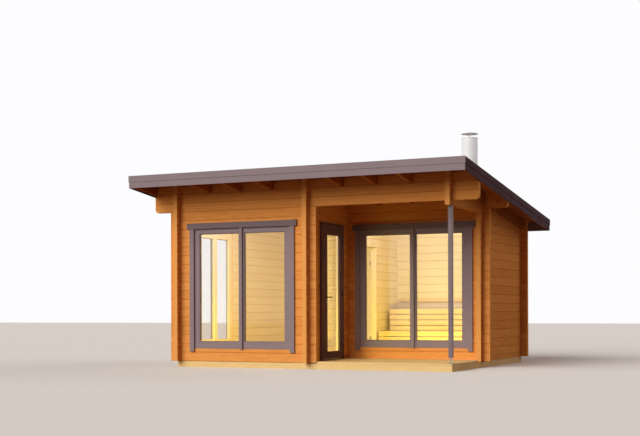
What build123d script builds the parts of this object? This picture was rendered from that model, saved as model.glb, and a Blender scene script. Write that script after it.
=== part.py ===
from build123d import *
from math import ceil, radians, tan
import os

os.makedirs("parts", exist_ok=True)

# A garden sauna of notched logs under a single-pitch roof: a lounge at the left that reaches
# the front, a recessed porch at the right, and the hot room behind the porch.
# Millimetres. +X runs to the right along the front, +Y runs to the back, +Z is up.
# The origin lies on the ground under the middle of the roof.

# House
house_width = 4400
house_depth = 3600
lounge_width = 2235
porch_depth = 1415

# Logs
log_course = 133
log_thickness = 70
log_end = 105
front_courses = 19
beam_courses = 2
side_beam_courses = 2.5
corbel_reach = 380
corbel_round = 55
groove_depth = 6
groove_half = 6
log_fit = 0.3

# Foundation and floors
timber_height = 90
timber_width = 50
timber_inset = 10
timber_joint = 0.5
board_thickness = 28
floor_lift = 20
joist_width = 45
joist_spacing = 500
floor_gap = 3

# Roof
roof_pitch = 6.5
over_front = 690
over_side = 410
over_rear = 250
rafter_width = 48
rafter_height = 118
rafters_per_bay = 3
rafter_fit = 1
sheathing = 19
covering = 8
fascia_height = 180
fascia_thickness = 20
fascia_drop = 22
fascia_step = 6
lower_fascia_height = 90
wall_rafter_drop = 42

# Windows, placed by their distances to the corners beside them
front_window_left = 239
front_window_right = 235
sauna_window_left = 124
sauna_window_right = 153
left_window_start = 481
left_window_width = 1200
opening_bottom_courses = 1.42
opening_top_courses = 15.5
trim_width = 74
trim_thickness = 28
trim_overlap = 25
trim_drop = 45
head_board_height = 85
head_board_thickness = 34
head_board_overhang = 41
head_board_overlap = 29.5
window_gap = 8
window_sill_gap = 3
window_settling_gap = 38
window_depth = 60
stile_width = 112
rail_width = 102
mullion_width = 84
cover_strip_width = 42
cover_strip_drop = 6
pane_thickness = 24
pane_setback = 12
pane_fit = 0.3

# Front door
door_start = 365
door_width = 815
door_height = 1980
casing_width = 65
casing_proud = 30
jamb_thickness = 40
door_wall_gap = 5
leaf_thickness = 45
leaf_setback = 3
leaf_gap = 6
lock_gap = 9
stop_width = 18
stop_gap = 5
lock_stile = 134
hinge_stile = 60
top_rail = 91
bottom_rail = 95
threshold_height = 33

# Hinges, handle and latch plate
knuckle_radius = 7
pin_radius = 4
pin_fit = 0.08
knuckle_height = 34
hinge_plate_width = 26
hinge_plate_thickness = 3
hinge_gap = 0.5
pin_short = 2
door_hinge_shares = (0.1, 0.5, 0.9)
handle_height = 956
handle_plate_width = 32
handle_plate_height = 170
handle_plate_drop = 119
handle_plate_thickness = 8
lever_length = 125
lever_thickness = 18
lever_neck = 40
spindle_radius = 8
spindle_fit = 0.08

# Inner door of the hot room
inner_door_start = 388
inner_door_width = 764
inner_door_height = 1775
inner_frame_proud = 15
inner_jamb = 40
inner_door_glass = 8
inner_stop_depth = 12
inner_stop_width = 12
inner_hinge_shares = (0.15, 0.85)
pull_length = 320
pull_radius = 14
pull_peg_radius = 6
pull_peg_fit = 0.3
pull_standoff = 28
pull_edge = 60

# Porch post
post_side = 60
post_wall = 4
post_round = 6
post_gap = 85
post_inset = 4
foot_plate = 80
foot_plate_thickness = 6
foot_rod_radius = 10
foot_nut_radius = 18
foot_nut_sides = 6
foot_nut_height = 16

# Flue, placed from the right wall and from the wall behind the porch
flue_from_right = 381
flue_from_porch = 585
flue_radius = 122
flue_inner_radius = 75
flue_top = 3400
flue_below_ceiling = 60
cap_radius = 131
cap_height = 46
cap_rise = 60
cap_rim = 6
strut_width = 12
strut_thickness = 4
strut_count = 4
strut_turn = 20
collar_height = 70
collar_spread = 60
collar_lip = 10
collar_rim = 8
collar_fit = 0.3
storm_ring_lift = 18
storm_ring_height = 34
storm_ring_spread = 26
storm_ring_edge = 4
flue_rim_height = 12
flue_rim_width = 4
flue_rim_bevel = 2.5

# Benches
bench_start = 75
bench_end_gap = 6
upper_bench_top = 760
upper_bench_depth = 560
lower_bench_top = 400
lower_bench_depth = 480
bench_slat = 80
bench_slat_gap = 12
bench_slat_thickness = 26
bearer_width = 45
bearer_height = 70
backrest_height = 70
backrest_thickness = 26
backrest_lift = 120

# Reach of cutting shapes past what they cut
tolerance = 1
cut_margin = 50

# Derived places
roof_width = house_width + 2 * over_side
roof_depth = over_front + house_depth + over_rear
left_x = -house_width / 2
right_x = house_width / 2
front_y = over_front - roof_depth / 2
rear_y = front_y + house_depth
middle_x = left_x + lounge_width
porch_y = front_y + porch_depth
slope = tan(radians(roof_pitch))
log_base = timber_height
wall_top = log_base + front_courses * log_course
floor_top = log_base + floor_lift
floor_bottom = floor_top - board_thickness
beam_bottom = wall_top - beam_courses * log_course
side_beam_bottom = wall_top - side_beam_courses * log_course
deck_lift = rafter_height + sheathing
cover_lift = deck_lift + covering
opening_bottom = log_base + opening_bottom_courses * log_course
opening_top = log_base + opening_top_courses * log_course
inner_opening_top = floor_top + inner_door_height + inner_jamb + door_wall_gap
left_inner_x = left_x + log_thickness
right_inner_x = right_x - log_thickness
middle_inner_x = middle_x - log_thickness
porch_inner_y = porch_y + log_thickness
rear_inner_y = rear_y - log_thickness
left_roof_x = left_x - over_side
right_roof_x = right_x + over_side
front_roof_y = front_y - over_front
rear_roof_y = rear_y + over_rear
roof_fall = roof_depth * slope
high = wall_top + roof_fall + rafter_height
front_window_width = lounge_width - front_window_left - front_window_right
front_window_x = left_x + front_window_left + front_window_width / 2
sauna_window_width = house_width - lounge_width - sauna_window_left - sauna_window_right
sauna_window_x = middle_x + sauna_window_left + sauna_window_width / 2
left_window_y = front_y + left_window_start + left_window_width / 2
flue_x = right_x - flue_from_right
flue_y = porch_y + flue_from_porch

finished = []


def save(builder, name):
    """Give a finished piece its name and write it to its own file."""
    builder.part.label = name
    export_step(builder.part, f"parts/{name}.step")
    finished.append(name)


def block(x_range, y_range, z_range, mode=Mode.ADD):
    """A plain box between two limits on each axis, in the part that is being made."""
    limits = (x_range, y_range, z_range)
    centre = [(low + high_end) / 2 for low, high_end in limits]
    size = [high_end - low for low, high_end in limits]
    with Locations(tuple(centre)):
        Box(*size, mode=mode)


def roof_z(y, lift=0):
    """Height at depth y of a surface that lies lift above the underside of the rafters."""
    return wall_top + lift - (y - front_y) * slope


def joint_heights(bottom, top, shift):
    """The joints between logs from bottom to top, for walls whose courses start at shift."""
    count = ceil((top - log_base) / log_course) + 1
    heights = [log_base + (n + shift) * log_course for n in range(count)]
    return [z for z in heights if bottom - tolerance < z < top + tolerance]


def log_outline(middle, bottom, top, shift):
    """Section of a wall of stacked logs, with a V groove along each joint on both faces."""
    face = [(0, bottom), (0, top)]
    for z in joint_heights(bottom, top, shift):
        if z < bottom + tolerance:
            face[0:1] = [(groove_depth, bottom), (0, bottom + groove_half)]
        elif z > top - tolerance:
            face[-1:] = [(0, top - groove_half), (groove_depth, top)]
        else:
            face[-1:-1] = [(0, z - groove_half), (groove_depth, z), (0, z + groove_half)]
    half = log_thickness / 2
    left = [(middle - half + inset, z) for inset, z in face]
    right = [(middle + half - inset, z) for inset, z in reversed(face)]
    return left + right


def logs_along_x(y_outer, x_range, bottom, top):
    """Logs that lie along X, with the wall's front face at y_outer."""
    with BuildSketch(Plane.YZ.offset(x_range[0])) as section:
        with BuildLine():
            Polyline(*log_outline(y_outer + log_thickness / 2, bottom, top, 0), close=True)
        make_face()
    extrude(section.sketch, amount=x_range[1] - x_range[0])


def logs_along_y(x_outer, y_range, bottom, top):
    """Logs that lie along Y, half a course off the others, with the left face at x_outer."""
    with BuildSketch(Plane.XZ.offset(-y_range[1])) as section:
        with BuildLine():
            Polyline(*log_outline(x_outer + log_thickness / 2, bottom, top, 0.5), close=True)
        make_face()
    extrude(section.sketch, amount=y_range[1] - y_range[0])


def notches(x_low, y_low, shift, top=high):
    """Cut the seats for the crossing wall's logs, whose faces start at x_low and y_low."""
    size = log_thickness + 2 * log_fit
    centre_x = x_low + log_thickness / 2
    centre_y = y_low + log_thickness / 2
    heights = [log_base + (n + shift) * log_course for n in range(front_courses + 3)]
    with Locations(*[(centre_x, centre_y, z) for z in heights if z < top]):
        Box(size, size, log_course / 2 + log_fit, mode=Mode.SUBTRACT)


def cut_above_roof(lift):
    """Trim everything above a plane that follows the roof."""
    near = front_roof_y - cut_margin
    far = rear_roof_y + cut_margin
    with BuildSketch(Plane.YZ.offset(left_roof_x - cut_margin)) as section:
        with BuildLine():
            Polyline(
                (near, roof_z(near, lift)),
                (far, roof_z(far, lift)),
                (far, high),
                (near, high),
                close=True,
            )
        make_face()
    extrude(section.sketch, amount=roof_width + 2 * cut_margin, mode=Mode.SUBTRACT)


def bay_rafters(x_start, x_end):
    """Centres of the rafters that share out the space between two walls."""
    step = (x_end - x_start) / (rafters_per_bay + 1)
    return [x_start + step * (n + 1) for n in range(rafters_per_bay)]


verge_x = over_side - fascia_thickness - rafter_width / 2
rafter_centres = (
    [left_x - verge_x]
    + bay_rafters(left_inner_x, middle_inner_x)
    + bay_rafters(middle_x, right_inner_x)
    + [right_x + verge_x]
)


def roof_layer(x_range, y_range, low, top, mode=Mode.ADD):
    """A slab that follows the roof, between two lifts above the underside of the rafters."""
    near, far = y_range
    with BuildSketch(Plane.YZ.offset(x_range[0])) as section:
        with BuildLine():
            Polyline(
                (near, roof_z(near, low)),
                (far, roof_z(far, low)),
                (far, roof_z(far, top)),
                (near, roof_z(near, top)),
                close=True,
            )
        make_face()
    extrude(section.sketch, amount=x_range[1] - x_range[0], mode=mode)


def rafter_seats(y_outer, centres):
    """Pockets in the top of a wall along X, where the rafters pass over it."""
    half = rafter_width / 2 + rafter_fit
    reach = (y_outer - cut_margin, y_outer + log_thickness + cut_margin)
    for x in centres:
        roof_layer((x - half, x + half), reach, 0, rafter_height + cut_margin, mode=Mode.SUBTRACT)


def round_end(x_tip, inward, z_low):
    """Round the lower corner of a log end that stands out under the eaves."""
    x_mid = x_tip + inward * corbel_round / 2
    with BuildSketch(Plane.XZ.offset(-rear_roof_y)) as section:
        with Locations((x_mid, z_low + corbel_round / 2)):
            Rectangle(corbel_round, corbel_round)
        with Locations((x_tip + inward * corbel_round, z_low + corbel_round)):
            Circle(corbel_round, mode=Mode.SUBTRACT)
    extrude(section.sketch, amount=roof_depth, mode=Mode.SUBTRACT)


# Foundation timbers under every wall, laid end to end on the ground
outer_left = left_x + timber_inset
outer_right = right_x - timber_inset
outer_front = front_y + timber_inset
outer_rear = rear_y - timber_inset
timber_middle_x = middle_x - timber_inset
timber_porch_y = porch_y + timber_inset

with BuildPart() as foundation:
    ground_to_log = (0, timber_height)
    across = (outer_left + timber_width + timber_joint, outer_right - timber_width - timber_joint)
    middle_span = (timber_middle_x - timber_width, timber_middle_x)
    block((outer_left, outer_left + timber_width), (outer_front, outer_rear), ground_to_log)
    block((outer_right - timber_width, outer_right), (timber_porch_y, outer_rear), ground_to_log)
    block(across, (outer_rear - timber_width, outer_rear), ground_to_log)
    block((across[0], timber_middle_x), (outer_front, outer_front + timber_width), ground_to_log)
    porch_span = (middle_span[1] + timber_joint, across[1])
    block(porch_span, (timber_porch_y, timber_porch_y + timber_width), ground_to_log)
    near = outer_front + timber_width + timber_joint
    block(middle_span, (near, outer_rear - timber_width - timber_joint), ground_to_log)
save(foundation, "foundation_timbers")

# Joists that carry the two floors and the porch deck
terrace_left = middle_x - timber_inset + timber_joint
terrace_right = right_x - timber_inset
terrace_front = front_y + timber_inset


def joist_spans(low, high_end):
    """Limits of joists that are spread evenly between two limits."""
    count = ceil((high_end - low) / joist_spacing)
    step = (high_end - low) / count
    middles = [low + step * (n + 0.5) for n in range(count)]
    return [(middle - joist_width / 2, middle + joist_width / 2) for middle in middles]


with BuildPart() as joists:
    lounge_joists = (outer_left + timber_width + timber_joint, middle_span[0] - timber_joint)
    sauna_joists = (middle_span[1] + timber_joint, outer_right - timber_width - timber_joint)
    under_floor = (0, floor_bottom)
    for y_range in joist_spans(outer_front + timber_width, outer_rear - timber_width):
        block(lounge_joists, y_range, under_floor)
    for y_range in joist_spans(timber_porch_y + timber_width, outer_rear - timber_width):
        block(sauna_joists, y_range, under_floor)
    # The deck boards lie along X, so the joists under them lie along Y behind the front rim
    block((terrace_left, terrace_right), (terrace_front, terrace_front + joist_width), under_floor)
    behind_rim = (terrace_front + joist_width + timber_joint, timber_porch_y - timber_joint)
    block((terrace_right - joist_width, terrace_right), behind_rim, under_floor)
    for x_range in joist_spans(terrace_left, terrace_right - joist_width):
        block(x_range, behind_rim, under_floor)
save(joists, "floor_joists")

# Floors
floor_span = (floor_bottom, floor_top)
with BuildPart() as room_floors:
    x_span = (left_inner_x + floor_gap, middle_inner_x - floor_gap)
    block(x_span, (front_y + log_thickness + floor_gap, rear_inner_y - floor_gap), floor_span)
    x_span = (middle_x + floor_gap, right_inner_x - floor_gap)
    block(x_span, (porch_inner_y + floor_gap, rear_inner_y - floor_gap), floor_span)
save(room_floors, "room_floors")

with BuildPart() as terrace_deck:
    block((middle_x + log_fit, terrace_right), (terrace_front, porch_y - log_fit), floor_span)
    fin = log_end + floor_gap
    log_zone = (0, floor_top + tolerance)
    front_logs = (terrace_front - tolerance, front_y + log_thickness + floor_gap)
    block((middle_x - tolerance, middle_x + fin), front_logs, log_zone, Mode.SUBTRACT)
    side_logs = (porch_y - fin, porch_y + tolerance)
    block((right_inner_x - floor_gap, right_x), side_logs, log_zone, Mode.SUBTRACT)
save(terrace_deck, "terrace_deck")


def window_opening(wall_axis, centre, width, outer):
    """Cut a window's opening in a wall whose outer face is at outer."""
    half = width / 2 - trim_width + trim_overlap + window_gap
    through = (outer - cut_margin, outer + log_thickness + cut_margin)
    along = (centre - half, centre + half)
    height = (opening_bottom, opening_top)
    if wall_axis == "x":
        block(along, through, height, Mode.SUBTRACT)
    else:
        block(through, along, height, Mode.SUBTRACT)


# Walls along X. Their joints lie at whole courses.
with BuildPart() as front_wall:
    logs_along_x(front_y, (left_x - log_end, middle_x + log_end), log_base, beam_bottom)
    window_opening("x", front_window_x, front_window_width, front_y)
    notches(left_x, front_y, 0, beam_bottom + log_course / 4)
    notches(middle_inner_x, front_y, 0, beam_bottom + log_course / 4)
save(front_wall, "front_wall")


def finish_under_roof(y_outer, crossings, centres):
    """Notch a wall along X for the walls that cross it, and seat the rafters in its top."""
    for x in crossings:
        notches(x, y_outer, 0)
    rafter_seats(y_outer, centres)
    cut_above_roof(rafter_height)


with BuildPart() as front_beam:
    reach = (left_x - corbel_reach, right_x + corbel_reach)
    logs_along_x(front_y, reach, beam_bottom, roof_z(front_y, rafter_height) + tolerance)
    round_end(reach[0], 1, beam_bottom)
    round_end(reach[1], -1, beam_bottom)
    finish_under_roof(front_y, (left_x, middle_inner_x, right_inner_x), rafter_centres)
save(front_beam, "front_beam")

with BuildPart() as sauna_front_wall:
    corbel_tip = right_x + corbel_reach
    logs_along_x(porch_y, (middle_inner_x, right_x + log_end), log_base, beam_bottom)
    under_boards = roof_z(porch_y, rafter_height) + tolerance
    logs_along_x(porch_y, (middle_inner_x, corbel_tip), beam_bottom, under_boards)
    round_end(corbel_tip, -1, beam_bottom)
    finish_under_roof(porch_y, (middle_inner_x, right_inner_x), rafter_centres[1 + rafters_per_bay:])
    window_opening("x", sauna_window_x, sauna_window_width, porch_y)
save(sauna_front_wall, "sauna_front_wall")

with BuildPart() as rear_wall:
    ends = (left_x - log_end, right_x + log_end)
    logs_along_x(rear_inner_y, ends, log_base, roof_z(rear_inner_y, rafter_height) + tolerance)
    finish_under_roof(rear_inner_y, (left_x, middle_inner_x, right_inner_x), rafter_centres)
save(rear_wall, "rear_wall")

# Walls along Y. Their joints lie half a course higher.
long_run = (front_y - log_end, rear_y + log_end)
half_joint_top = roof_z(front_y - log_end, rafter_height) + tolerance
with BuildPart() as left_wall:
    logs_along_y(left_x, long_run, log_base, half_joint_top)
    window_opening("y", left_window_y, left_window_width, left_x)
    notches(left_x, front_y, 0.5)
    notches(left_x, rear_inner_y, 0.5)
    cut_above_roof(rafter_height)
save(left_wall, "left_wall")

with BuildPart() as right_wall:
    logs_along_y(right_inner_x, (porch_y - log_end, long_run[1]), log_base, side_beam_bottom)
    notches(right_inner_x, porch_y, 0.5, side_beam_bottom + log_course / 4)
    notches(right_inner_x, rear_inner_y, 0.5, side_beam_bottom + log_course / 4)
    cut_above_roof(rafter_height)
save(right_wall, "right_wall")

with BuildPart() as right_beam:
    logs_along_y(right_inner_x, long_run, side_beam_bottom, half_joint_top)
    for y in (front_y, porch_y, rear_inner_y):
        notches(right_inner_x, y, 0.5)
    cut_above_roof(rafter_height)
save(right_beam, "right_beam")

# The middle wall: porch side at the front, partition of the hot room behind
door_y = front_y + door_start
door_end_y = door_y + door_width
door_cut = casing_width - jamb_thickness - door_wall_gap
door_hole = (door_y + door_cut, door_end_y - door_cut)
door_head = floor_top + door_height
door_hole_top = door_head + jamb_thickness + door_wall_gap
middle_top_bottom = log_base + (ceil((door_hole_top - log_base) / log_course - 0.5) + 0.5) * log_course
inner_door_y = porch_y + inner_door_start
inner_door_end_y = inner_door_y + inner_door_width
inner_hole = (inner_door_y - door_wall_gap, inner_door_end_y + door_wall_gap)

with BuildPart() as middle_piers:
    piers = (front_y - log_end, *door_hole, *inner_hole, rear_y + log_end)
    for pier in (piers[0:2], piers[2:4], piers[4:6]):
        logs_along_y(middle_inner_x, pier, log_base, middle_top_bottom)
    for y in (front_y, porch_y, rear_inner_y):
        notches(middle_inner_x, y, 0.5, middle_top_bottom + log_course / 4)
save(middle_piers, "middle_wall_piers")

with BuildPart() as lintels:
    for hole, hole_top in ((door_hole, door_hole_top), (inner_hole, inner_opening_top)):
        lintel_run = (hole[0] + log_fit, hole[1] - log_fit)
        logs_along_y(middle_inner_x, lintel_run, hole_top, middle_top_bottom)
save(lintels, "door_lintels")

with BuildPart() as middle_top:
    logs_along_y(middle_inner_x, long_run, middle_top_bottom, half_joint_top)
    for y in (front_y, porch_y, rear_inner_y):
        notches(middle_inner_x, y, 0.5)
    cut_above_roof(rafter_height)
save(middle_top, "middle_wall_top")


# Windows. Each is drawn lying along X at the face of its wall, then turned for a side wall.
def window_plane(wall_axis, centre, outer):
    """Plane of a window's outer face: its X runs along the wall, its Z points outwards."""
    if wall_axis == "x":
        return Plane(origin=(centre, outer, 0), x_dir=(1, 0, 0), z_dir=(0, -1, 0))
    return Plane(origin=(outer, centre, 0), x_dir=(0, -1, 0), z_dir=(-1, 0, 0))


def upright(plane, x_range, z_range, near, far):
    """A board in a window's plane, from near to far along the way out of the wall."""
    with BuildSketch(plane.offset(near)) as section:
        with Locations(((x_range[0] + x_range[1]) / 2, (z_range[0] + z_range[1]) / 2)):
            Rectangle(x_range[1] - x_range[0], z_range[1] - z_range[0])
    extrude(section.sketch, amount=far - near)


frame_bottom = opening_bottom + window_sill_gap
frame_top = opening_top - window_settling_gap
glass_bottom = frame_bottom + rail_width
glass_top = frame_top - rail_width
head_bottom = frame_top - head_board_overlap


def window_half_frame(width):
    """Half the width of the frame, which reaches under the side trims."""
    return width / 2 - trim_width + trim_overlap


def window_lights(width):
    """Left and right limits of a window's two glazed openings."""
    light_half = window_half_frame(width) - stile_width
    return [(-light_half, -mullion_width / 2), (mullion_width / 2, light_half)]


def window_frame(name, wall_axis, centre, width, outer):
    """Frame of one window with its trims, cover strip and head board."""
    plane = window_plane(wall_axis, centre, outer)
    half = window_half_frame(width)
    with BuildPart() as frame:
        with BuildSketch(plane.offset(-window_depth)):
            with Locations((0, (frame_bottom + frame_top) / 2)):
                Rectangle(2 * half, frame_top - frame_bottom)
            for low, end in window_lights(width):
                with Locations(((low + end) / 2, (glass_bottom + glass_top) / 2)):
                    Rectangle(end - low, glass_top - glass_bottom, mode=Mode.SUBTRACT)
        extrude(amount=window_depth)
        side_rise = (frame_bottom - trim_drop, head_bottom)
        for side in (-1, 1):
            edges = sorted((side * (width / 2 - trim_width), side * width / 2))
            upright(plane, edges, side_rise, 0, trim_thickness)
        strip = cover_strip_width / 2
        strip_rise = (frame_bottom - cover_strip_drop, head_bottom)
        upright(plane, (-strip, strip), strip_rise, 0, trim_thickness)
        head = width / 2 + head_board_overhang
        head_rise = (head_bottom, head_bottom + head_board_height)
        upright(plane, (-head, head), head_rise, 0, head_board_thickness)
    save(frame, name)


windows = {
    "front_window": ("x", front_window_x, front_window_width, front_y),
    "sauna_window": ("x", sauna_window_x, sauna_window_width, porch_y),
    "left_window": ("y", left_window_y, left_window_width, left_x),
}
for name, place in windows.items():
    window_frame(name + "_frame", *place)

with BuildPart() as window_glass:
    for wall_axis, centre, width, outer in windows.values():
        for low, end in window_lights(width):
            plane = window_plane(wall_axis, centre, outer)
            rise = (glass_bottom + pane_fit, glass_top - pane_fit)
            inner_side = -pane_setback - pane_thickness
            upright(plane, (low + pane_fit, end - pane_fit), rise, inner_side, -pane_setback)
save(window_glass, "window_glass")

# Front door: frame round the hole, with a casing on the outer face
casing_face = middle_x + casing_proud
jamb_start = door_hole[0] + door_wall_gap
jamb_end = door_hole[1] - door_wall_gap
clear_start = door_y + casing_width
clear_end = door_end_y - casing_width
threshold_top = log_base + threshold_height
casing_top = door_head + casing_width

leaf_face = casing_face - leaf_setback
leaf_back = leaf_face - leaf_thickness

with BuildPart() as door_frame:
    block((middle_inner_x, casing_face), (jamb_start, clear_start), (threshold_top, door_head))
    block((middle_inner_x, casing_face), (clear_end, jamb_end), (threshold_top, door_head))
    block((middle_inner_x, casing_face), (jamb_start, jamb_end), (door_head, door_head + jamb_thickness))
    casing_span = (middle_x + log_fit, casing_face)
    block(casing_span, (door_y, clear_start), (floor_top + log_fit, door_head))
    block(casing_span, (clear_end, door_end_y), (floor_top + log_fit, door_head))
    block(casing_span, (door_y, door_end_y), (door_head, casing_top))
    stop_depth = (middle_inner_x, leaf_back - stop_gap)
    stop_rise = (threshold_top, door_head)
    block(stop_depth, (clear_start, clear_start + stop_width), stop_rise)
    block(stop_depth, (clear_end - stop_width, clear_end), stop_rise)
    block(stop_depth, (clear_start, clear_end), (door_head - stop_width, door_head))
save(door_frame, "door_frame")

with BuildPart() as threshold:
    block((middle_inner_x, middle_x), (jamb_start, jamb_end), (log_base, threshold_top))
    block((middle_x, casing_face), (clear_start, clear_end), (floor_top + log_fit, threshold_top))
save(threshold, "door_threshold")

# Front door leaf, closed
leaf_start = clear_start + lock_gap
leaf_end = clear_end - leaf_gap
leaf_bottom = threshold_top + leaf_gap
leaf_top = door_head - leaf_gap
handle_y = leaf_start + lock_stile / 2
handle_z = log_base + handle_height
light_y = (leaf_start + lock_stile, leaf_end - hinge_stile)
light_z = (leaf_bottom + bottom_rail, leaf_top - top_rail)

with BuildPart() as door_leaf:
    block((leaf_back, leaf_face), (leaf_start, leaf_end), (leaf_bottom, leaf_top))
    block((leaf_back - tolerance, leaf_face + tolerance), light_y, light_z, Mode.SUBTRACT)
    with Locations((leaf_face - leaf_thickness / 2, handle_y, handle_z)):
        bore_length = leaf_thickness + 2 * tolerance
        Cylinder(spindle_radius + spindle_fit, bore_length, rotation=(0, 90, 0), mode=Mode.SUBTRACT)
save(door_leaf, "door_leaf")

with BuildPart() as door_glass:
    pane_back = leaf_face - (leaf_thickness + pane_thickness) / 2
    y_span = (light_y[0] + pane_fit, light_y[1] - pane_fit)
    z_span = (light_z[0] + pane_fit, light_z[1] - pane_fit)
    block((pane_back, pane_back + pane_thickness), y_span, z_span)
save(door_glass, "door_glass")


def tube_z(x, y, z_low, height, radius, bore=0):
    """A round piece that stands on z_low, with a bore when one is given."""
    with Locations((x, y, z_low + height / 2)):
        Cylinder(radius, height)
        if bore:
            Cylinder(bore, height + 2 * tolerance, mode=Mode.SUBTRACT)


def hinge_plate(x_face, outwards, y_from, y_to, z_low, reach):
    """The flat of a hinge on a face, which reaches out to the knuckle beside it."""
    x_span = sorted((x_face, x_face + outwards * reach))
    block(x_span, sorted((y_from, y_to)), (z_low, z_low + knuckle_height))


def hinge_axis_x(face, outwards):
    """X of a hinge's pin beside a frame's face."""
    return face + outwards * (knuckle_radius + hinge_gap)


def fixed_hinges(name, frame_face, outwards, axis_y, heights):
    """Lower knuckles with their pins and plates, on the frame."""
    axis_x = hinge_axis_x(frame_face, outwards)
    with BuildPart() as hinge:
        for z in heights:
            tube_z(axis_x, axis_y, z - knuckle_height, knuckle_height, knuckle_radius)
            tube_z(axis_x, axis_y, z, knuckle_height - pin_short, pin_radius)
            edge = axis_y + hinge_plate_width + knuckle_radius
            reach = hinge_plate_thickness
            hinge_plate(frame_face, outwards, axis_y, edge, z - knuckle_height, reach)
    save(hinge, name)


def moving_hinges(name, frame_face, leaf_side, outwards, axis_y, heights):
    """Upper knuckles with their plates, on the leaf. The pins turn inside them."""
    axis_x = hinge_axis_x(frame_face, outwards)
    with BuildPart() as hinge:
        for z in heights:
            low = z + hinge_gap
            tube_z(axis_x, axis_y, low, knuckle_height, knuckle_radius)
            edge = axis_y - hinge_plate_width - knuckle_radius
            reach = abs(frame_face - leaf_side) + hinge_plate_thickness
            near = axis_y - leaf_gap
            hinge_plate(leaf_side, outwards, near, edge, low, reach)
            lifted = frame_face + outwards * hinge_gap
            hinge_plate(lifted, outwards, axis_y, edge, low, hinge_plate_thickness - hinge_gap)
            with Locations((axis_x, axis_y, low + knuckle_height / 2)):
                Cylinder(pin_radius + pin_fit, knuckle_height + tolerance, mode=Mode.SUBTRACT)
    save(hinge, name)


# Outer hinges, at the edge away from the handle
door_axis_y = leaf_end + leaf_gap / 2
leaf_height = leaf_top - leaf_bottom
door_hinge_heights = [leaf_bottom + leaf_height * share for share in door_hinge_shares]
fixed_hinges("door_hinge_pins", casing_face, 1, door_axis_y, door_hinge_heights)
moving_hinges("door_hinge_leaves", casing_face, leaf_face, 1, door_axis_y, door_hinge_heights)

# Handle plates on both faces of the leaf, and the lever pair that turns in them
with BuildPart() as handle_plates:
    y_span = (handle_y - handle_plate_width / 2, handle_y + handle_plate_width / 2)
    z_span = (handle_z - handle_plate_drop, handle_z - handle_plate_drop + handle_plate_height)
    block((leaf_face, leaf_face + handle_plate_thickness), y_span, z_span)
    block((leaf_back - handle_plate_thickness, leaf_back), y_span, z_span)
    with Locations((leaf_face - leaf_thickness / 2, handle_y, handle_z)):
        bore_length = 2 * leaf_thickness
        Cylinder(spindle_radius + spindle_fit, bore_length, rotation=(0, 90, 0), mode=Mode.SUBTRACT)
save(handle_plates, "door_handle_plates")

with BuildPart() as lever:
    outer_neck = leaf_face + handle_plate_thickness + lever_neck
    inner_neck = leaf_back - handle_plate_thickness - lever_neck
    with Locations(((outer_neck + inner_neck) / 2, handle_y, handle_z)):
        Cylinder(spindle_radius, outer_neck - inner_neck, rotation=(0, 90, 0))
    y_span = (handle_y - lever_thickness / 2, handle_y + lever_length)
    z_span = (handle_z - lever_thickness / 2, handle_z + lever_thickness / 2)
    block((outer_neck - lever_thickness / 2, outer_neck + lever_thickness / 2), y_span, z_span)
    block((inner_neck - lever_thickness / 2, inner_neck + lever_thickness / 2), y_span, z_span)
    grip_edges = lever.edges().filter_by(Axis.Y).group_by(Axis.X)
    fillet(grip_edges[0] + grip_edges[-1], radius=lever_thickness * 0.3)
save(lever, "door_handle")

# Inner door of the hot room: a timber frame with a stop, and a leaf of plain glass
inner_face = middle_inner_x - inner_frame_proud
inner_back = middle_x + inner_frame_proud
inner_clear = (inner_door_y + inner_jamb, inner_door_end_y - inner_jamb)
inner_head = floor_top + inner_door_height
inner_leaf_front = inner_face + leaf_setback
inner_leaf_x = (inner_leaf_front, inner_leaf_front + inner_door_glass)
stop_x = inner_leaf_x[1] + leaf_gap

with BuildPart() as inner_frame:
    frame_z = (floor_top + log_fit, inner_head + inner_jamb)
    block((inner_face, inner_back), (inner_door_y, inner_door_end_y), frame_z)
    through = (inner_face - tolerance, inner_back + tolerance)
    block(through, inner_clear, (floor_top, inner_head), Mode.SUBTRACT)
    stop_span = (stop_x, stop_x + inner_stop_depth)
    stop_z = (floor_top + log_fit, inner_head)
    block(stop_span, (inner_clear[0], inner_clear[0] + inner_stop_width), stop_z)
    block(stop_span, (inner_clear[1] - inner_stop_width, inner_clear[1]), stop_z)
    block(stop_span, inner_clear, (inner_head - inner_stop_width, inner_head))
save(inner_frame, "sauna_door_frame")

inner_leaf_y = (inner_clear[0] + leaf_gap, inner_clear[1] - leaf_gap)
inner_leaf_z = (floor_top + 2 * leaf_gap, inner_head - leaf_gap)
pull_y = inner_leaf_y[0] + pull_edge
pull_z = (inner_leaf_z[0] + inner_leaf_z[1]) / 2
peg_heights = [pull_z - pull_length / 3, pull_z + pull_length / 3]

with BuildPart() as inner_leaf:
    block(inner_leaf_x, inner_leaf_y, inner_leaf_z)
    with Locations(*[(sum(inner_leaf_x) / 2, pull_y, z) for z in peg_heights]):
        hole_length = inner_door_glass + 2 * tolerance
        Cylinder(pull_peg_radius + pull_peg_fit, hole_length, rotation=(0, 90, 0), mode=Mode.SUBTRACT)
save(inner_leaf, "sauna_door_leaf")

with BuildPart() as pull:
    grips = (inner_leaf_x[0] - pull_standoff, inner_leaf_x[1] + pull_standoff)
    with Locations(*[(x, pull_y, pull_z) for x in grips]):
        Cylinder(pull_radius, pull_length)
    with Locations(*[(sum(grips) / 2, pull_y, z) for z in peg_heights]):
        Cylinder(pull_peg_radius, grips[1] - grips[0], rotation=(0, 90, 0))
save(pull, "sauna_door_pull")

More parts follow.
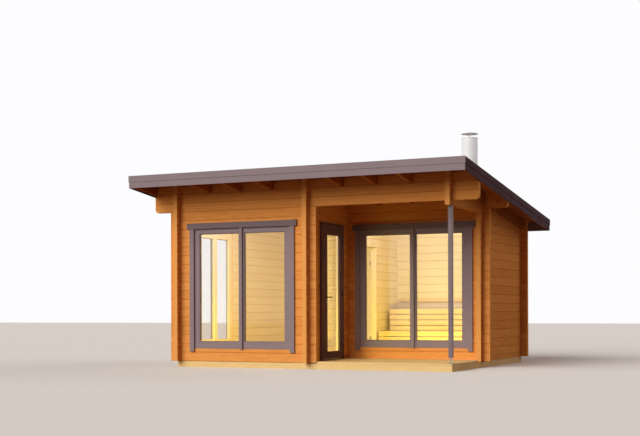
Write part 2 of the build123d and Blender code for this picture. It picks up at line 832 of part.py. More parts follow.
inner_axis_y = inner_leaf_y[1] + leaf_gap / 2
inner_leaf_height = inner_leaf_z[1] - inner_leaf_z[0]
inner_hinge_heights = [inner_leaf_z[0] + inner_leaf_height * share for share in inner_hinge_shares]
fixed_hinges("sauna_door_hinge_pins", inner_face, -1, inner_axis_y, inner_hinge_heights)
inner_place = (inner_face, inner_leaf_front, -1, inner_axis_y, inner_hinge_heights)
moving_hinges("sauna_door_hinge_clamps", *inner_place)

# Roof
inner_roof_x = (left_roof_x + fascia_thickness, right_roof_x - fascia_thickness)
inner_roof_y = (front_roof_y + fascia_thickness, rear_roof_y - fascia_thickness)

with BuildPart() as rafters:
    for x in rafter_centres:
        roof_layer((x - rafter_width / 2, x + rafter_width / 2), inner_roof_y, 0, rafter_height)
    # Deeper rafters lie against the outer faces of the side walls, between the standing log ends
    behind_front = front_y + log_thickness + log_fit
    behind_porch = porch_y + log_thickness + log_fit
    before_rear = rear_inner_y - log_fit
    left_face = (left_x - log_fit - rafter_width, left_x - log_fit)
    right_face = (right_x + log_fit, right_x + log_fit + rafter_width)
    for x_range, y_range in (
        (left_face, (behind_front, before_rear)),
        (right_face, (behind_front, porch_y - log_fit)),
        (right_face, (behind_porch, before_rear)),
    ):
        roof_layer(x_range, y_range, -wall_rafter_drop, rafter_height)
save(rafters, "rafters")


def flue_hole(radius):
    """An upright hole for the flue through the whole height of the roof."""
    with Locations((flue_x, flue_y, roof_z(flue_y, rafter_height))):
        Cylinder(radius, 2 * (roof_fall + rafter_height), mode=Mode.SUBTRACT)


with BuildPart() as roof_boards:
    roof_layer(inner_roof_x, inner_roof_y, rafter_height, deck_lift)
    flue_hole(flue_radius + collar_fit)
save(roof_boards, "roof_boards")

with BuildPart() as roof_cover:
    roof_layer(inner_roof_x, inner_roof_y, deck_lift, cover_lift)
    flue_hole(flue_radius + collar_fit)
save(roof_cover, "roof_covering")

# Fascias: the upper board of each stands out over the lower one
fascia_low = -fascia_drop
fascia_high = fascia_height - fascia_drop
fascia_middle = fascia_low + lower_fascia_height

with BuildPart() as level_fascias:
    for y_edge, inward in ((front_roof_y, 1), (rear_roof_y, -1)):
        back = y_edge + inward * fascia_thickness
        heights = [roof_z(y_edge, lift) for lift in (fascia_low, fascia_middle, fascia_high)]
        block((left_roof_x, right_roof_x), sorted((y_edge, back)), heights[1:])
        lower_x = (left_roof_x + fascia_step, right_roof_x - fascia_step)
        block(lower_x, sorted((y_edge + inward * fascia_step, back)), heights[:2])
save(level_fascias, "level_fascias")

with BuildPart() as side_fascias:
    for x_edge, inward in ((left_roof_x, 1), (right_roof_x, -1)):
        back = x_edge + inward * fascia_thickness
        roof_layer(sorted((x_edge, back)), inner_roof_y, fascia_middle, fascia_high)
        lower_x = sorted((x_edge + inward * fascia_step, back))
        roof_layer(lower_x, inner_roof_y, fascia_low, fascia_middle)
save(side_fascias, "side_fascias")

# Flue: a pipe through the roof, its collar and its rain cap
pipe_top = log_base + flue_top
pipe_bottom = roof_z(flue_y, rafter_height) - flue_below_ceiling
flue_section = Plane(origin=(flue_x, flue_y, 0), x_dir=(1, 0, 0), z_dir=(0, -1, 0))
flue_axis = Axis((flue_x, flue_y, 0), (0, 0, 1))

collar_reach = flue_radius + collar_spread
collar_high = roof_z(flue_y - collar_reach, cover_lift)
collar_foot = roof_z(flue_y + collar_reach, cover_lift) - collar_rim
storm_ring_low = collar_high + collar_height + storm_ring_lift
rim_low = pipe_top - flue_rim_height

# The pipe carries a skirt over the collar and a thick rim at its mouth
with BuildPart() as flue_pipe:
    tube_z(flue_x, flue_y, pipe_bottom, pipe_top - pipe_bottom, flue_radius, flue_inner_radius)
    with BuildSketch(flue_section):
        with BuildLine():
            Polyline(
                (flue_radius - tolerance, storm_ring_low + storm_ring_height),
                (flue_radius - tolerance, storm_ring_low + storm_ring_height / 2),
                (flue_radius + storm_ring_spread, storm_ring_low),
                (flue_radius + storm_ring_spread, storm_ring_low + storm_ring_edge),
                (flue_radius + storm_ring_edge, storm_ring_low + storm_ring_height),
                close=True,
            )
        make_face()
    revolve(axis=flue_axis)
    with BuildSketch(flue_section):
        with BuildLine():
            Polyline(
                (flue_radius - tolerance, rim_low),
                (flue_radius + flue_rim_width, rim_low),
                (flue_radius + flue_rim_width, pipe_top - flue_rim_bevel),
                (flue_radius + flue_rim_width - flue_rim_bevel, pipe_top),
                (flue_radius - tolerance, pipe_top),
                close=True,
            )
        make_face()
    revolve(axis=flue_axis)
save(flue_pipe, "flue_pipe")

with BuildPart() as flue_collar:
    with BuildSketch(flue_section):
        with BuildLine():
            Polyline(
                (flue_radius + collar_fit, collar_foot),
                (collar_reach, collar_foot),
                (collar_reach, collar_high + collar_rim),
                (flue_radius + collar_lip, collar_high + collar_height),
                (flue_radius + collar_fit, collar_high + collar_height),
                close=True,
            )
        make_face()
    revolve(axis=flue_axis)
    collar_x = (flue_x - collar_reach - tolerance, flue_x + collar_reach + tolerance)
    collar_y = (flue_y - collar_reach - tolerance, flue_y + collar_reach + tolerance)
    roof_layer(collar_x, collar_y, cover_lift - 2 * collar_height, cover_lift, mode=Mode.SUBTRACT)
save(flue_collar, "flue_collar")

with BuildPart() as flue_cap:
    cap_low = pipe_top + cap_rise
    with BuildSketch(flue_section):
        with BuildLine():
            Polyline(
                (0, cap_low),
                (cap_radius, cap_low),
                (cap_radius, cap_low + cap_rim),
                (0, cap_low + cap_height),
                close=True,
            )
        make_face()
    revolve(axis=flue_axis)
    strut_ring = (flue_radius + flue_inner_radius) / 2
    strut_height = cap_rise + tolerance
    with Locations((flue_x, flue_y, pipe_top + strut_height / 2)):
        with PolarLocations(strut_ring, strut_count, start_angle=strut_turn):
            Box(strut_thickness, strut_width, strut_height)
save(flue_cap, "flue_cap")

# Porch post under the outer corner, with its levelling foot
post_x = (right_x - post_inset - post_side, right_x - post_inset)
post_y = (front_y + post_inset, front_y + post_inset + post_side)
post_bottom = floor_top + post_gap
post_centre = (sum(post_x) / 2, sum(post_y) / 2)

with BuildPart() as corner_post:
    with BuildSketch(Plane.XY.offset(post_bottom)):
        with Locations(post_centre):
            RectangleRounded(post_side, post_side, post_round)
    extrude(amount=side_beam_bottom - post_bottom)
    with BuildSketch(Plane.XY.offset(post_bottom + post_wall)):
        with Locations(post_centre):
            hollow_side = post_side - 2 * post_wall
            RectangleRounded(hollow_side, hollow_side, post_round - post_wall)
    extrude(amount=side_beam_bottom - post_bottom - 2 * post_wall, mode=Mode.SUBTRACT)
save(corner_post, "corner_post")

with BuildPart() as post_foot:
    half = foot_plate / 2
    plate_right = min(post_centre[0] + half, terrace_right)
    plate_front = max(post_centre[1] - half, terrace_front)
    plate_x = (plate_right - foot_plate, plate_right)
    plate_y = (plate_front, plate_front + foot_plate)
    block(plate_x, plate_y, (floor_top, floor_top + foot_plate_thickness))
    tube_z(*post_centre, floor_top, post_gap, foot_rod_radius)
    with BuildSketch(Plane.XY.offset(post_bottom - foot_nut_height)):
        with Locations(post_centre):
            RegularPolygon(foot_nut_radius, foot_nut_sides)
    extrude(amount=foot_nut_height)
save(post_foot, "post_foot")

# Benches in the hot room
bench_x = (middle_x + bench_start, right_inner_x - bench_end_gap)
slat_pitch = bench_slat + bench_slat_gap


def bench(name, rear, depth, top, foot):
    """Slats on three bearers with legs, and slats down the front."""
    front = rear - depth
    bearers = [bench_x[0] + bearer_width, sum(bench_x) / 2, bench_x[1] - bearer_width]
    with BuildPart() as seat:
        count = int((depth - bench_slat_thickness + bench_slat_gap) / slat_pitch)
        for n in range(count):
            y = rear - n * slat_pitch
            block(bench_x, (y - bench_slat, y), (top - bench_slat_thickness, top))
        rows = int((top - foot + bench_slat_gap) / slat_pitch)
        for n in range(rows):
            z = top - n * slat_pitch
            block(bench_x, (front, front + bench_slat_thickness), (z - bench_slat, z))
        under = top - bench_slat_thickness
        leg_y = (front + bench_slat_thickness, front + bench_slat_thickness + bearer_width)
        for x in bearers:
            x_span = (x - bearer_width / 2, x + bearer_width / 2)
            block(x_span, (leg_y[0], rear), (under - bearer_height, under))
            block(x_span, leg_y, (floor_top, under))
    save(seat, name)
    return front


bench_rear = rear_inner_y - log_fit
upper_top = floor_top + upper_bench_top
lower_top = floor_top + lower_bench_top
upper_front = bench("upper_bench", bench_rear, upper_bench_depth, upper_top, lower_top)
lower_rear = upper_front - bench_slat_gap
bench("lower_bench", lower_rear, lower_bench_depth, lower_top, floor_top + lower_bench_top / 2)

with BuildPart() as backrest:
    back_low = upper_top + backrest_lift
    block(bench_x, (bench_rear - backrest_thickness, bench_rear), (back_low, back_low + backrest_height))
save(backrest, "bench_backrest")
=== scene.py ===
# %% [markdown]
# # A garden sauna of notched logs
# The measured model already holds every wall, frame, bench and hinge at its true size. This
# lesson dresses it. Each surface gets its wood, paint, metal or glass, and the small parts that
# a joiner screws or nails on at the end are modelled and put in their places.

# %% Load the measured model
import math
import bpy
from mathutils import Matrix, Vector


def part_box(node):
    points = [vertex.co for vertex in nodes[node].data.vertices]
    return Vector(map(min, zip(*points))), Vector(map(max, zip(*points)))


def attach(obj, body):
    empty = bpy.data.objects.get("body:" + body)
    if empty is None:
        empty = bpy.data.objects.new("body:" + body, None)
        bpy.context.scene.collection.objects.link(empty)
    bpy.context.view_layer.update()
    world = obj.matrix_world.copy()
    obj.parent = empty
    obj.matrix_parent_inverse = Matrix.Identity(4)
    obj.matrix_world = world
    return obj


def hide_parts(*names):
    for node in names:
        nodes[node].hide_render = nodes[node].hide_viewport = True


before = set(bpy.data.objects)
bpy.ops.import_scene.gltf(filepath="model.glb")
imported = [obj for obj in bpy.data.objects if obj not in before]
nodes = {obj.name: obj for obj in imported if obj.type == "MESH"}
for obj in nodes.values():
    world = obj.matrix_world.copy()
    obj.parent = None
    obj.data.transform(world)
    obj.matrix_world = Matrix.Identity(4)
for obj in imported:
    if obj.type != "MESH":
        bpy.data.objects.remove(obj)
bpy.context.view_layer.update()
print("pieces in the measured model:", len(nodes))

# %% [markdown]
# ## Places that the whole lesson uses
# All places come from the model's own boxes, so nothing here has to be kept in step by hand. The
# logs are 133 mm high, and the walls that run front to back start half a course higher. The axes
# get names too, because a place is often read along one of them: X to the right, Y back, Z up.

# %% Read the main places
X, Y, Z = range(3)
front_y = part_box("front_wall")[0].y
left_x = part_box("left_wall")[0].x
right_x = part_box("right_beam")[1].x
log_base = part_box("front_wall")[0].z
middle_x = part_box("middle_wall_top")[1].x
middle_inner_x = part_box("middle_wall_top")[0].x
porch_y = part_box("sauna_front_wall")[0].y
log_course = 0.133
log_thickness = middle_x - middle_inner_x
rear_inner_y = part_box("rear_wall")[1].y - log_thickness
right_inner_x = right_x - log_thickness
floor_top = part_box("room_floors")[1].z
roof_low, roof_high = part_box("roof_boards")
roof_angle = math.radians(6.5)
print("front", round(front_y, 3), "left", round(left_x, 3), "floor", round(floor_top, 3))

# %% [markdown]
# ## Shader maths as plain arithmetic
# A wood pattern is mostly arithmetic on a point's place: which board it lies on, how far it is
# from a joint. Nodes for that are slow to place by hand, so a small class wraps a node's output
# and lets Python's own operators add the Math nodes. One function adds every node. It makes the
# settings first, because some of them change which sockets the node has.

# %% A wire that can be added, multiplied and compared
def join(tree, socket, value):
    """Link a wire to a socket, or set the socket to a plain value."""
    if isinstance(value, Wire):
        tree.links.new(value.socket, socket)
    else:
        socket.default_value = value


def add_node(tree, kind, settings=None, sockets=None):
    """Add a node: its settings are made first, and then its sockets are set or linked."""
    node = tree.nodes.new("ShaderNode" + kind)
    for name, value in (settings or {}).items():
        setattr(node, name, value)
    for name, value in (sockets or {}).items():
        join(tree, node.inputs[name], value)
    return node


class Wire:
    """One output of a node, on which arithmetic adds Math nodes."""

    def __init__(self, tree, socket):
        self.tree = tree
        self.socket = socket

    def maths(self, operation, *values):
        node = add_node(self.tree, "Math", {"operation": operation}, dict(enumerate(values)))
        return Wire(self.tree, node.outputs[0])

    def __add__(self, other):
        return self.maths("ADD", self, other)

    __radd__ = __add__

    def __sub__(self, other):
        return self.maths("SUBTRACT", self, other)

    def __rsub__(self, other):
        return self.maths("SUBTRACT", other, self)

    def __mul__(self, other):
        return self.maths("MULTIPLY", self, other)

    __rmul__ = __mul__

    def __truediv__(self, other):
        return self.maths("DIVIDE", self, other)

    def __gt__(self, other):
        return self.maths("GREATER_THAN", self, other)

    def __lt__(self, other):
        return self.maths("LESS_THAN", self, other)

    def __abs__(self):
        return self.maths("ABSOLUTE", self)

    def __floor__(self):
        return self.maths("FLOOR", self)

    def sine(self):
        return self.maths("SINE", self)

    def root(self):
        return self.maths("SQRT", self)

    def fraction(self):
        return self.maths("FRACT", self)

    def smaller(self, other):
        return self.maths("MINIMUM", self, other)

    def larger(self, other):
        return self.maths("MAXIMUM", self, other)


# %% [markdown]
# ## A finish in the making
# Every material starts from the Principled shader. What varies over a surface is worked out by
# nodes and linked to the shader's sockets. Short methods name the steps that nearly every finish
# takes, so that a finish reads like its recipe.

# %% The class that builds a material
def mixed_colour(tree, factor, first, second):
    """A mix of two colours; 6, 7 and output 2 are the sockets that a Mix node has for colours."""
    node = add_node(tree, "Mix", {"data_type": "RGBA"}, {0: factor, 6: first, 7: second})
    return Wire(tree, node.outputs[2])


class Finish:
    """A material with its shader, and short ways to add what varies over its surface."""

    def __init__(self, name, **values):
        self.material = bpy.data.materials.new(name)
        self.material.use_nodes = True
        self.tree = self.material.node_tree
        self.shader = self.tree.nodes["Principled BSDF"]
        for socket, value in values.items():
            self.shader.inputs[socket.replace("_", " ")].default_value = value

    def add(self, kind, settings=None, sockets=None, out=0):
        """Any other node, as the wire of one of its outputs."""
        node = add_node(self.tree, kind, settings, sockets)
        return Wire(self.tree, node.outputs[out])

    def axes(self, kind="Object"):
        """The X, Y and Z of the shaded point, or of its normal."""
        vector = self.add("TexCoord", out=kind)
        node = add_node(self.tree, "SeparateXYZ", sockets={0: vector})
        return [Wire(self.tree, output) for output in node.outputs]

    def point(self, x, y, z):
        """One vector made of three wires or numbers."""
        return self.add("CombineXYZ", sockets={0: x, 1: y, 2: z})

    def drawn_out(self, along, across_scale, along_scale, shift=0.0):
        """A point for noise that is drawn out along one axis, as grain and brush marks are."""
        place = self.axes()
        parts = [part * across_scale for part in place]
        parts[along] = place[along] * along_scale + shift
        return self.point(*parts)

    def noise(self, vector, scale=1.0, detail=3.0, roughness=0.5):
        """Cloudy noise from 0 to 1 at a point."""
        sockets = {"Vector": vector, "Scale": scale, "Detail": detail, "Roughness": roughness}
        return self.add("TexNoise", sockets=sockets)

    def chance(self, number):
        """A number from 0 to 1 by chance, always the same one for the same board or course."""
        return self.add("TexWhiteNoise", {"noise_dimensions": "1D"}, {"W": number})

    def fade(self, value, low, high):
        """0 below low, 1 above high, and a smooth rise between them."""
        sockets = {"Value": value, "From Min": low, "From Max": high}
        return self.add("MapRange", {"interpolation_type": "SMOOTHSTEP"}, sockets)

    def mix(self, factor, first, second):
        """The first colour where the factor is 0, and the second where it is 1."""
        return mixed_colour(self.tree, factor, first, second)

    def bump(self, height, strength, distance):
        """Relief that only the light shows: the normal leans where the height changes."""
        sockets = {"Height": height, "Strength": strength, "Distance": distance}
        self.set("Normal", self.add("Bump", sockets=sockets))

    def set(self, socket, value):
        """Link a wire to one of the shader's sockets, or give the socket a value."""
        join(self.tree, self.shader.inputs[socket], value)


def colour(red, green, blue):
    """A screen colour from 0 to 255, as the linear colour that a shader takes."""
    parts = [value / 255 for value in (red, green, blue)]
    return tuple(p / 12.92 if p < 0.04045 else ((p + 0.055) / 1.055) ** 2.4 for p in parts) + (1,)


def darker(tint, share):
    """A share of a linear colour, still fully opaque."""
    return tuple(part * share for part in tint[:3]) + (1,)


# %% [markdown]
# ## Wood
# Sawn softwood shows three things at different scales. Each board has its own tone, broad curved
# figures run along it where the rings were cut, and fine streaks lie along the grain. Knots sit in
# between. Noise that is drawn out along the grain gives the streaks, and the level lines of a
# smooth drawn-out noise give the broad figure.

# %% The grain of one wood
def grain(finish, along, board):
    """Streaks, figure and knots from 0 to 1 for boards that run along one axis."""
    shift = finish.chance(board + 3.7) * 40
    streaks = finish.noise(finish.drawn_out(along, 45, 2.2, shift), detail=5, roughness=0.6)
    contour = finish.noise(finish.drawn_out(along, 7, 0.55, shift), detail=1.5, roughness=0.4)
    level_lines = contour * 90
    figure = level_lines.sine() * 0.5 + 0.5
    sockets = {"Vector": finish.drawn_out(along, 5, 1.6, shift), "Scale": 1.0}
    spots = finish.add("TexVoronoi", {"feature": "F1"}, sockets)
    knots = 1 - finish.fade(spots, 0.03, 0.1)
    return streaks, figure, knots


def joint_line(finish, count, width, low, high):
    """1 on the joint between two courses or boards, and fading to 0 on both sides of it."""
    share = (count + 0.5).fraction() - 0.5
    return 1 - finish.fade(abs(share) * width, low, high)


def inside_rooms(finish, margin):
    """1 on the faces that look into the lounge or the hot room, and 0 outdoors."""
    x, y = finish.axes()[:2]
    before_rear = y < rear_inner_y + margin
    lounge_x = (x > left_x + log_thickness - margin) * (x < middle_inner_x + margin)
    lounge = lounge_x * (y > front_y + log_thickness - margin)
    hot_x = (x > middle_x - margin) * (x < right_inner_x + margin)
    hot = hot_x * (y > porch_y + log_thickness - margin)
    return lounge.larger(hot) * before_rear


honey = colour(244, 170, 92)
amber = colour(194, 114, 52)
knot_brown = colour(96, 48, 20)
raw_light = colour(250, 236, 208)
raw_dark = colour(238, 216, 176)
raw_knot = colour(170, 118, 70)


# %% [markdown]
# ## The stained logs
# Outdoors the logs carry a honey-coloured stain, and indoors they are bare pine. The same solid
# shows both, so the material asks on which side of the wall a point lies. The joints between logs
# are darker: partly stain that gathers there, and partly painted shade in the groove. On the log
# ends the rings show instead of the streaks, and the face's own direction tells where that is. The
# rings lie round the middle of each log.

# %% The rings on a log's end
def end_rings(finish, along, height):
    """Rings from 0 to 1 round the middle of each log, on the walls that run along one axis."""
    place = finish.axes()
    walls = {X: (front_y, porch_y, rear_inner_y), Y: (left_x, middle_inner_x, right_inner_x)}
    across = place[1 - along]
    offsets = [abs(across - (start + log_thickness / 2)) for start in walls[along]]
    sideways = offsets[0].smaller(offsets[1]).smaller(offsets[2])
    upright = (height.fraction() - 0.5) * log_course
    radius = (sideways * sideways + upright * upright).root()
    wobble = finish.noise(finish.point(*[p * 30 for p in place]), detail=2)
    return (radius * 900 + wobble * 6).sine() * 0.5 + 0.5


# %% A material for logs along one axis
def log_finish(name, along, half):
    """Logs along one axis, whose courses start the share half of a course higher."""
    finish = Finish(name, Roughness=0.6, Specular_IOR_Level=0.02)
    place = finish.axes()
    height = (place[Z] - log_base) / log_course - half
    course = math.floor(height)
    streaks, figure, knots = grain(finish, along, course)
    indoors = inside_rooms(finish, margin=0.0075)
    tone = finish.chance(course + 11.3)
    pattern = streaks * 0.6 + figure * 0.14 + tone * 0.2 - 0.1
    stained = finish.mix(pattern, honey, amber)
    bare = finish.mix(pattern, raw_light, raw_dark)
    stained = finish.mix(knots * 0.4, stained, knot_brown)
    bare = finish.mix(knots * 0.35, bare, raw_knot)
    side = finish.mix(indoors, stained, bare)
    # A dark line along each joint between courses: partly stain, partly painted shade in the
    # groove.
    joint = joint_line(finish, height, log_course, 0.002, 0.009)
    side = finish.mix(joint * 0.2, side, colour(92, 44, 16))
    ring_tone = end_rings(finish, along, height) * 0.6 + 0.15
    stained_end = finish.mix(ring_tone, colour(248, 182, 104), colour(208, 134, 66))
    bare_end = finish.mix(ring_tone, raw_light, colour(222, 190, 142))
    end = finish.mix(indoors, stained_end, bare_end)
    on_end = abs(finish.axes("Normal")[along]) > 0.7
    finish.set("Base Color", finish.mix(on_end, side, end))
    finish.set("Roughness", streaks * 0.2 + 0.55)
    finish.bump(streaks * 0.6 + figure * 0.2 - knots * 0.3, 0.25, 0.002)
    return finish.material


logs_across = log_finish("stained_logs_across", X, half=0)
logs_deep = log_finish("stained_logs_deep", Y, half=0.5)
print("log finishes:", logs_across.name, logs_deep.name)


# %% [markdown]
# ## Boards
# Roof boards, rafters, deck, floors and benches are all planed boards. They differ in direction,
# width and stain, so one function makes them all. Where boards lie side by side in one solid,
# a fine dark line marks the joint between them. Each call gives the axis that its boards run
# along, the axis across them, their width and the place where the first one starts.

# %% A material for boards
def board_finish(name, along, across, width, start, wood, bare=None, line=0.0, gloss=0.5):
    """Boards in the light, dark and knot colours of a wood, and in bare ones indoors."""
    light, dark, knot = wood
    finish = Finish(name, Roughness=gloss, Specular_IOR_Level=0.05)
    place = finish.axes()
    count = (place[across] - start) / width
    board = math.floor(count)
    streaks, figure, knots = grain(finish, along, board)
    tone = finish.chance(board + 5.9)
    pattern = streaks * 0.6 + figure * 0.2 + tone * 0.35 - 0.1
    face = finish.mix(pattern, light, dark)
    face = finish.mix(knots * 0.5, face, knot)
    if bare:
        inner = finish.mix(pattern, bare[0], bare[1])
        face = finish.mix(inside_rooms(finish, 0.0), face, inner)
    relief = streaks * 0.5 + figure * 0.2
    if line:
        joint = joint_line(finish, count, width, 0.001, 0.004)
        face = finish.mix(joint * line, face, colour(50, 26, 12))
        relief = relief - joint * 2
    finish.set("Base Color", face)
    finish.set("Roughness", streaks * 0.2 + gloss - 0.1)
    finish.bump(relief, 0.25, 0.002)
    return finish.material


bare_pine = (raw_light, raw_dark)
soffit = (colour(204, 122, 54), colour(140, 72, 26), knot_brown)
pale_timber = (colour(240, 210, 150), colour(216, 180, 118), colour(150, 96, 48))
oiled_floor = (colour(214, 160, 96), colour(178, 120, 62), knot_brown)
smooth_bench = (colour(246, 222, 176), colour(228, 196, 142), raw_knot)
bare_upright = (raw_light, raw_dark, raw_knot)
roof_wood = board_finish("roof_board_wood", X, Y, 0.0954, roof_low.y, soffit, bare_pine, line=0.8)
rafter_wood = board_finish("rafter_wood", Y, X, 0.262, left_x, soffit, bare_pine)
base_wood = board_finish("base_timber_wood", X, Y, 0.51, front_y - 0.2, pale_timber)
deck_wood = board_finish("deck_wood", X, Y, 0.1, front_y + 0.01, pale_timber)
floor_wood = board_finish("floor_wood", Y, X, 0.12, left_x, oiled_floor, line=0.7, gloss=0.4)
bench_wood = board_finish("bench_wood", X, Z, 0.092, floor_top - 0.036, smooth_bench)
upright_wood = board_finish("upright_bare_wood", Z, Y, 0.2, porch_y, bare_upright)
print("board finishes:", roof_wood.name, deck_wood.name, floor_wood.name, bench_wood.name)


# %% [markdown]
# ## Paint and metal
# The window frames and fascias are painted brown-grey, and the front door in a deeper tone of it.
# The fascias at the sides are darker still, and that is painted shade: the front fascias' paint as
# it looks on a side in shade. Above the lower edge of the head boards the frame paint is darker,
# partly a deeper tone of the head boards and partly painted shade under the eaves. Brushed paint on
# wood keeps a trace of the grain, and its gloss varies a little. Indoors the frames are bare wood
# again, and so is the inner half of the front door's leaf. Steel for the flue is drawn, so its fine
# lines run round the pipe. The post, the handles and the hinges are coated metal.

# %% Painted wood
head_high = 0.085


def paint_finish(name, tint, along, margin=None, shut=None, head=None):
    """Brushed paint, bare in the rooms or below shut along X, and darker above the height head:
    partly a deeper tone of the head boards, partly painted shade under the eaves.
    """
    finish = Finish(name, Roughness=0.6, Specular_IOR_Level=0.01)
    place = finish.axes()
    streaks = finish.noise(finish.drawn_out(along, 60, 4), detail=4, roughness=0.6)
    cloud = finish.noise(finish.point(*place), scale=3.0, detail=3)
    face = finish.mix(streaks * 0.5 + cloud * 0.5, tint, darker(tint, 0.78))
    # Above the height head the paint is darker: partly the head boards' own deeper tone, partly
    # painted shade under the eaves.
    if head is not None:
        face = finish.mix(place[Z] > head, face, darker(tint, 0.62))
    if margin is not None or shut is not None:
        indoors = inside_rooms(finish, margin) if shut is None else place[X] < shut
        bare = finish.mix(streaks, raw_light, raw_dark)
        face = finish.mix(indoors, face, bare)
    finish.set("Base Color", face)
    finish.set("Roughness", cloud * 0.2 + 0.4)
    finish.bump(streaks, 0.12, 0.001)
    return finish.material


brown_grey = colour(151, 135, 139)
head_board_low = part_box("front_window_frame")[1].z - head_high
frame_paint = paint_finish("frame_paint", brown_grey, Z, margin=0.058, head=head_board_low)
door_brown = colour(124, 96, 102)
casing_paint = paint_finish("casing_paint", door_brown, Z, margin=0.056)
leaf_paint = paint_finish("leaf_paint", door_brown, Z, shut=0.036)
fascia_paint = paint_finish("fascia_paint", colour(148, 134, 140), X)
# The side fascias get the front fascias' paint darkened: painted shade, as that paint looks on a
# side in shade.
side_fascia_painted_shade = paint_finish("side_fascia_painted_shade", colour(80, 52, 60), Y)
print("paints:", frame_paint.name, casing_paint.name, leaf_paint.name, fascia_paint.name)


# %% Coated and bare metal
def metal_finish(name, tint, along, metallic, gloss):
    """Metal with fine lines that lie across one axis."""
    finish = Finish(name, Metallic=metallic, Roughness=gloss)
    brushed = finish.noise(finish.drawn_out(along, 25, 900), detail=2)
    cloud = finish.noise(finish.point(*finish.axes()), scale=8.0, detail=3)
    finish.set("Base Color", finish.mix(cloud, tint, darker(tint, 0.82)))
    finish.set("Roughness", brushed * 0.12 + cloud * 0.1 + gloss - 0.1)
    finish.bump(brushed, 0.05, 0.0004)
    return finish.material


flue_steel = metal_finish("flue_steel", colour(250, 252, 255), Z, metallic=0.35, gloss=0.42)
fitting_steel = metal_finish("fitting_steel", colour(176, 176, 178), Y, metallic=1.0, gloss=0.3)
dark_metal = metal_finish("dark_coated_metal", colour(70, 62, 64), Z, metallic=0.3, gloss=0.45)
post_paint = metal_finish("post_paint", colour(130, 116, 118), Z, metallic=0.1, gloss=0.45)
print("metals:", flue_steel.name, fitting_steel.name, dark_metal.name, post_paint.name)


# %% [markdown]
# ## Glass and rubber
# A clean pane lets nearly all light through and mirrors a little, more where it is seen at a
# slant. So its material is a mirror that is almost clear: Alpha gives the share that mirrors,
# and Layer Weight makes that share grow at a slant.

# %% Glass and rubber
def glass_finish(name):
    finish = Finish(name, Metallic=1.0, Roughness=0.02)
    facing = finish.add("LayerWeight", sockets={"Blend": 0.35}, out="Facing")
    finish.set("Base Color", colour(240, 246, 248))
    finish.set("Alpha", facing * facing * 0.5 + 0.05)
    return finish.material


def rubber_finish(name):
    finish = Finish(name, Roughness=0.7)
    cloud = finish.noise(finish.point(*finish.axes()), scale=40.0, detail=3)
    finish.set("Base Color", finish.mix(cloud, colour(30, 28, 28), colour(46, 43, 42)))
    finish.set("Roughness", cloud * 0.2 + 0.6)
    return finish.material


window_pane = glass_finish("window_pane")
seal_rubber = rubber_finish("seal_rubber")
print("glass and rubber:", window_pane.name, seal_rubber.name)


# %% [markdown]
# ## The roof's skin
# The roof is low, so a membrane with mineral grit suits it. Seen close, grit is a fine mix of
# dark and light grains; from further off, only soft cloudy wear shows.

# %% Roofing felt
def felt_finish(name):
    finish = Finish(name, Roughness=0.9)
    place = finish.axes()
    grit = finish.noise(finish.point(*place), scale=420.0, detail=2)
    cloud = finish.noise(finish.point(*place), scale=1.3, detail=4)
    grains = finish.fade(grit, 0.42, 0.62)
    face = finish.mix(grains, colour(54, 54, 57), colour(112, 112, 114))
    face = finish.mix(cloud * 0.35, face, colour(78, 76, 74))
    finish.set("Base Color", face)
    finish.bump(grains, 0.5, 0.001)
    return finish.material


roof_felt = felt_finish("roof_felt")
print("felt:", roof_felt.name)

# %% [markdown]
# ## Which finish goes where
# A measured piece keeps its mesh, and only its material changes. One table names the finish of
# every piece, so a piece that was forgotten stops the script instead of staying plain.

# %% Put the finishes on the measured pieces
dressed = {
    "front_wall": logs_across, "front_beam": logs_across, "sauna_front_wall": logs_across,
    "rear_wall": logs_across, "left_wall": logs_deep, "right_wall": logs_deep,
    "right_beam": logs_deep, "middle_wall_piers": logs_deep, "door_lintels": logs_deep,
    "middle_wall_top": logs_deep, "foundation_timbers": base_wood, "floor_joists": base_wood,
    "terrace_deck": deck_wood, "room_floors": floor_wood, "rafters": rafter_wood,
    "roof_boards": roof_wood, "roof_covering": roof_felt, "level_fascias": fascia_paint,
    "side_fascias": side_fascia_painted_shade, "front_window_frame": frame_paint,
    "sauna_window_frame": frame_paint, "left_window_frame": frame_paint,
    "window_glass": window_pane, "door_frame": casing_paint, "door_threshold": casing_paint,
    "door_leaf": leaf_paint, "door_glass": window_pane, "door_hinge_pins": dark_metal,
    "door_hinge_leaves": dark_metal, "door_handle_plates": dark_metal,
    "door_handle": dark_metal, "sauna_door_frame": upright_wood, "sauna_door_leaf": window_pane,
    "sauna_door_pull": upright_wood, "sauna_door_hinge_pins": fitting_steel,
    "sauna_door_hinge_clamps": fitting_steel, "flue_pipe": flue_steel,
    "flue_collar": flue_steel, "flue_cap": flue_steel, "corner_post": post_paint,
    "post_foot": fitting_steel, "upper_bench": bench_wood, "lower_bench": bench_wood,
    "bench_backrest": bench_wood,
}
for name, node in nodes.items():
    node.data.materials.clear()
    node.data.materials.append(dressed[name])
print("nodes dressed:", len(dressed))


# %% [markdown]
# ## Ways of working on new pieces
# Operators act on everything that is selected, and the loaded nodes come in selected, so each
# step starts from an empty selection. A finished piece has its place in its mesh and its object
# at the origin, rides on a body of the model, and takes its finish from a named slot.

# %% Helpers for new pieces
def nothing_selected():
    bpy.ops.object.select_all(action="DESELECT")


def applied(piece):
    """Move a piece's place, turn and size into its mesh."""
    nothing_selected()
    bpy.context.view_layer.objects.active = piece
    piece.select_set(True)
    bpy.ops.object.transform_apply(location=True, rotation=True, scale=True)
    return piece


